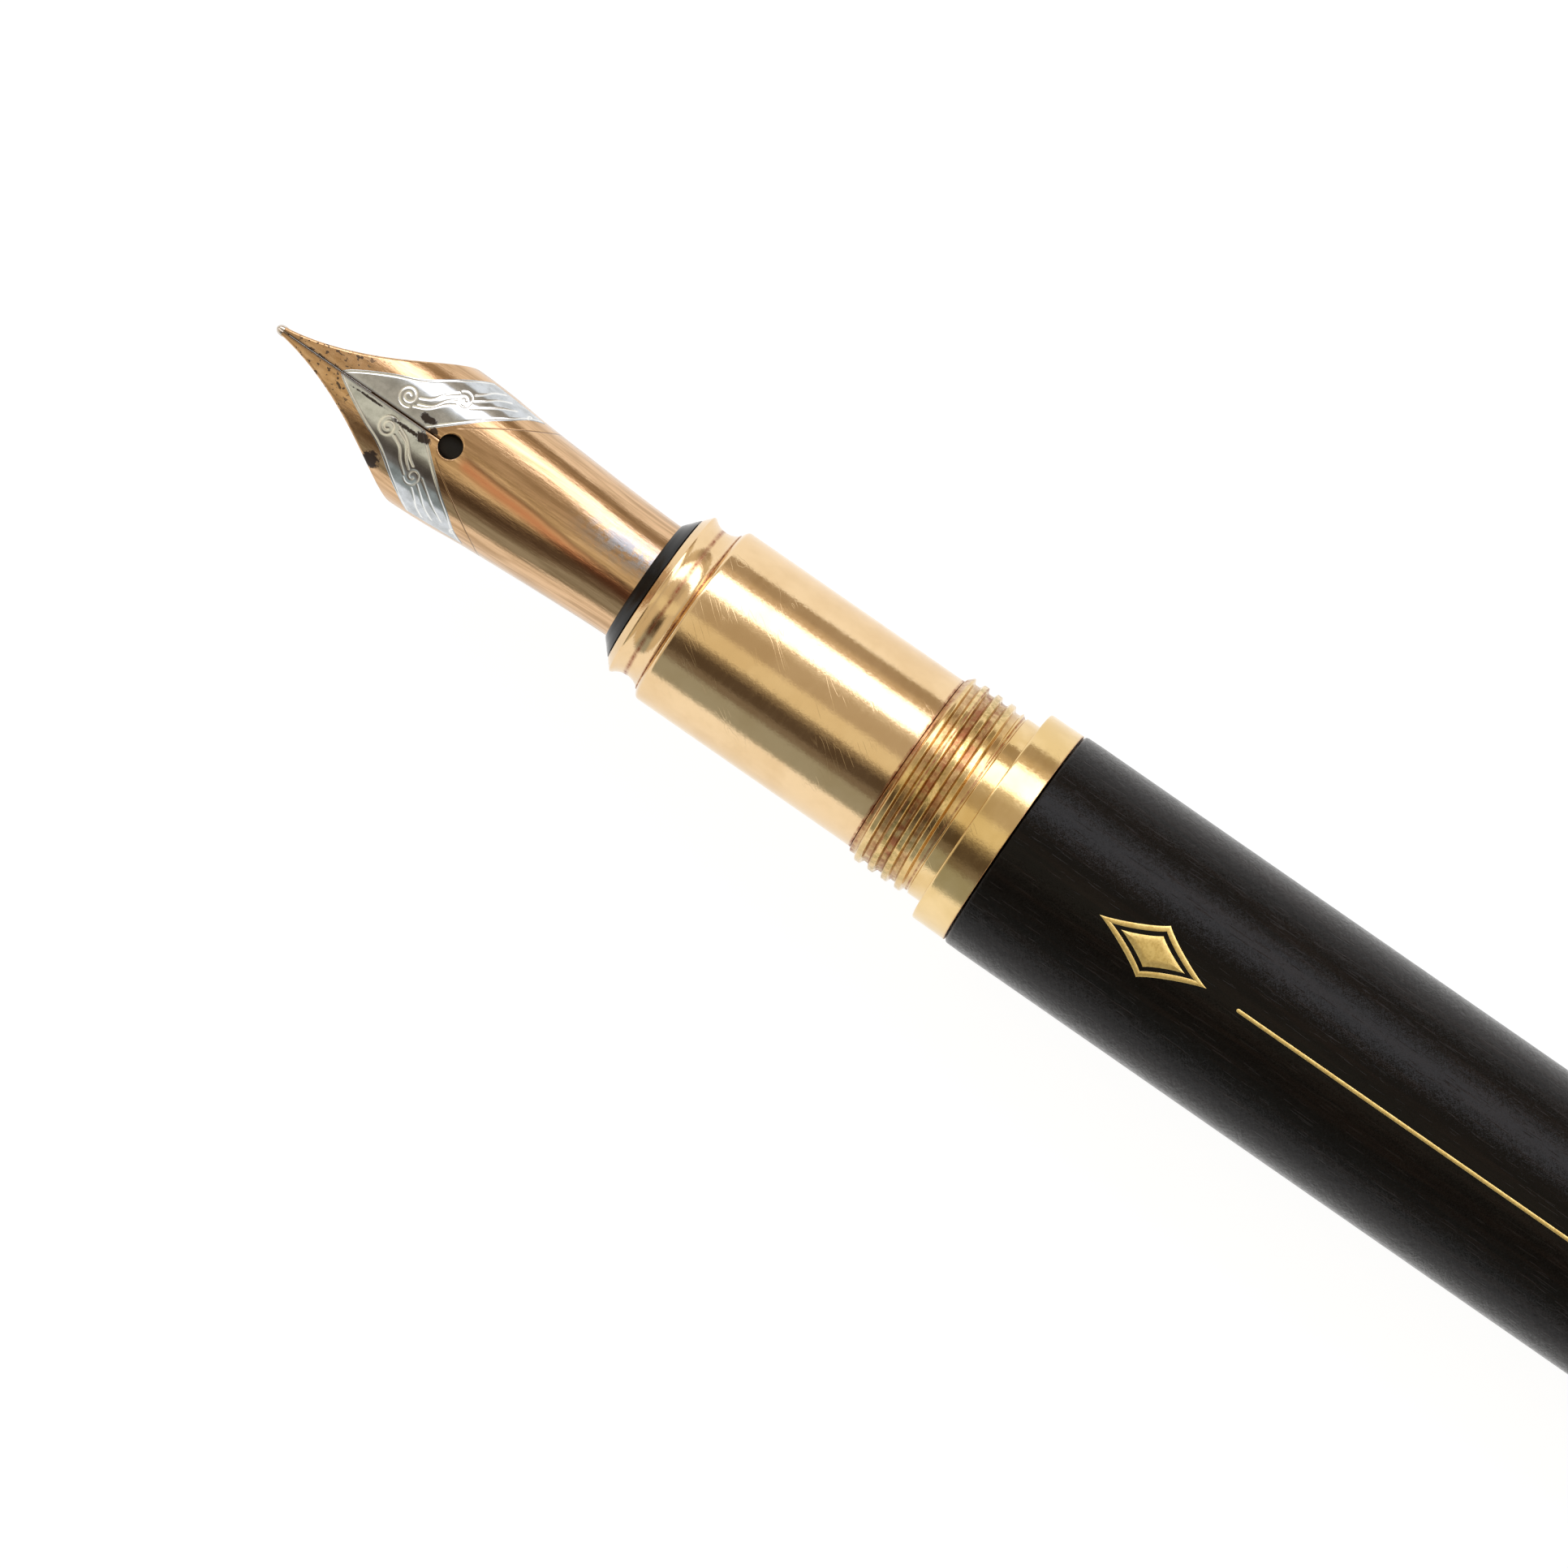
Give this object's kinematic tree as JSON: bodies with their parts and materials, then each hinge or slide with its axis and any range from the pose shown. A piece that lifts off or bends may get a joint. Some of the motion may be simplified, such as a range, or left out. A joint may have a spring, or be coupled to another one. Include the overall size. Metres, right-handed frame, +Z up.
{
  "type": "fountain pen",
  "caption": "Fountain pen without its cap: two-tone nib, finned feed, metal grip section, threaded collar, dark wood barrel and a piston converter inside.",
  "frame": {"origin": "on the surface that the pen lies on, under its axis, half way between the nib's tip and the flat end of the finial", "axes": "+X along the pen's axis towards the tail, so the nib points to -X; +Z up through the top of the nib; +Y completes the frame"},
  "size_m": [0.1272, 0.013, 0.013],
  "materials": {
    "ebony": "oiled and polished dark wood with fine open pores",
    "liner_brass": "drawn brass, dull",
    "gold_trim": "gold-plated, polished, finely scratched",
    "inlay_gold": "satin gold inlay",
    "nib_gold": "gold-plated steel with rhodium-plated panels, polished",
    "tipping_metal": "polished hard alloy",
    "black_plastic": "moulded black plastic",
    "feed_plastic": "roughened black plastic that ink wets",
    "clear_plastic": "clear moulded plastic",
    "ferrule_chrome": "polished chrome",
    "seal_rubber": "soft black seal"
  },
  "bodies": {
    "barrel": {"wood_barrel": "ebony", "brass_tube": "liner_brass", "coupler": "gold_trim", "trim_ring": "gold_trim", "barrel_emblem": "inlay_gold", "inlay_line": "inlay_gold", "tail_plug": "liner_brass", "tail_ring": "gold_trim", "tail_finial": "gold_trim"},
    "section": {"grip_section": "gold_trim"},
    "nib_unit": {"nib_housing": "black_plastic"},
    "nib_and_feed": {"nib": "nib_gold", "nib_tipping": "tipping_metal", "feed": "feed_plastic"},
    "converter": {"ink_tube": "clear_plastic", "ferrule": "ferrule_chrome", "rod_guide": "black_plastic"},
    "knob": {"converter_knob": "black_plastic", "screw_sleeve": "black_plastic"},
    "piston": {"piston_rod": "black_plastic", "piston_seal": "seal_rubber"}
  },
  "joints": [
    {"name": "section_draw", "type": "slide", "parent": "barrel", "child": "section", "axis": [-1, 0, 0], "range_m": [0, 0.07]},
    {"name": "nib_unit_draw", "type": "slide", "parent": "section", "child": "nib_unit", "axis": [-1, 0, 0], "range_m": [0, 0.016]},
    {"name": "nib_draw", "type": "slide", "parent": "nib_unit", "child": "nib_and_feed", "axis": [-1, 0, 0], "range_m": [0, 0.011]},
    {"name": "converter_pull", "type": "slide", "parent": "section", "child": "converter", "axis": [1, 0, 0], "range_m": [0, 0.01]},
    {"name": "knob_turn", "type": "hinge", "parent": "converter", "child": "knob", "pos_m": [0.0145, 0, 0.00648], "axis": [1, 0, 0], "range_deg": [0, 2160]},
    {"name": "piston_travel", "type": "slide", "parent": "converter", "child": "piston", "axis": [1, 0, 0], "range_m": [0, 0.0216]}
  ],
  "couplings": [
    {"joint": "knob_turn", "follows": "piston_travel", "rad_per_m": 1745.3}
  ]
}
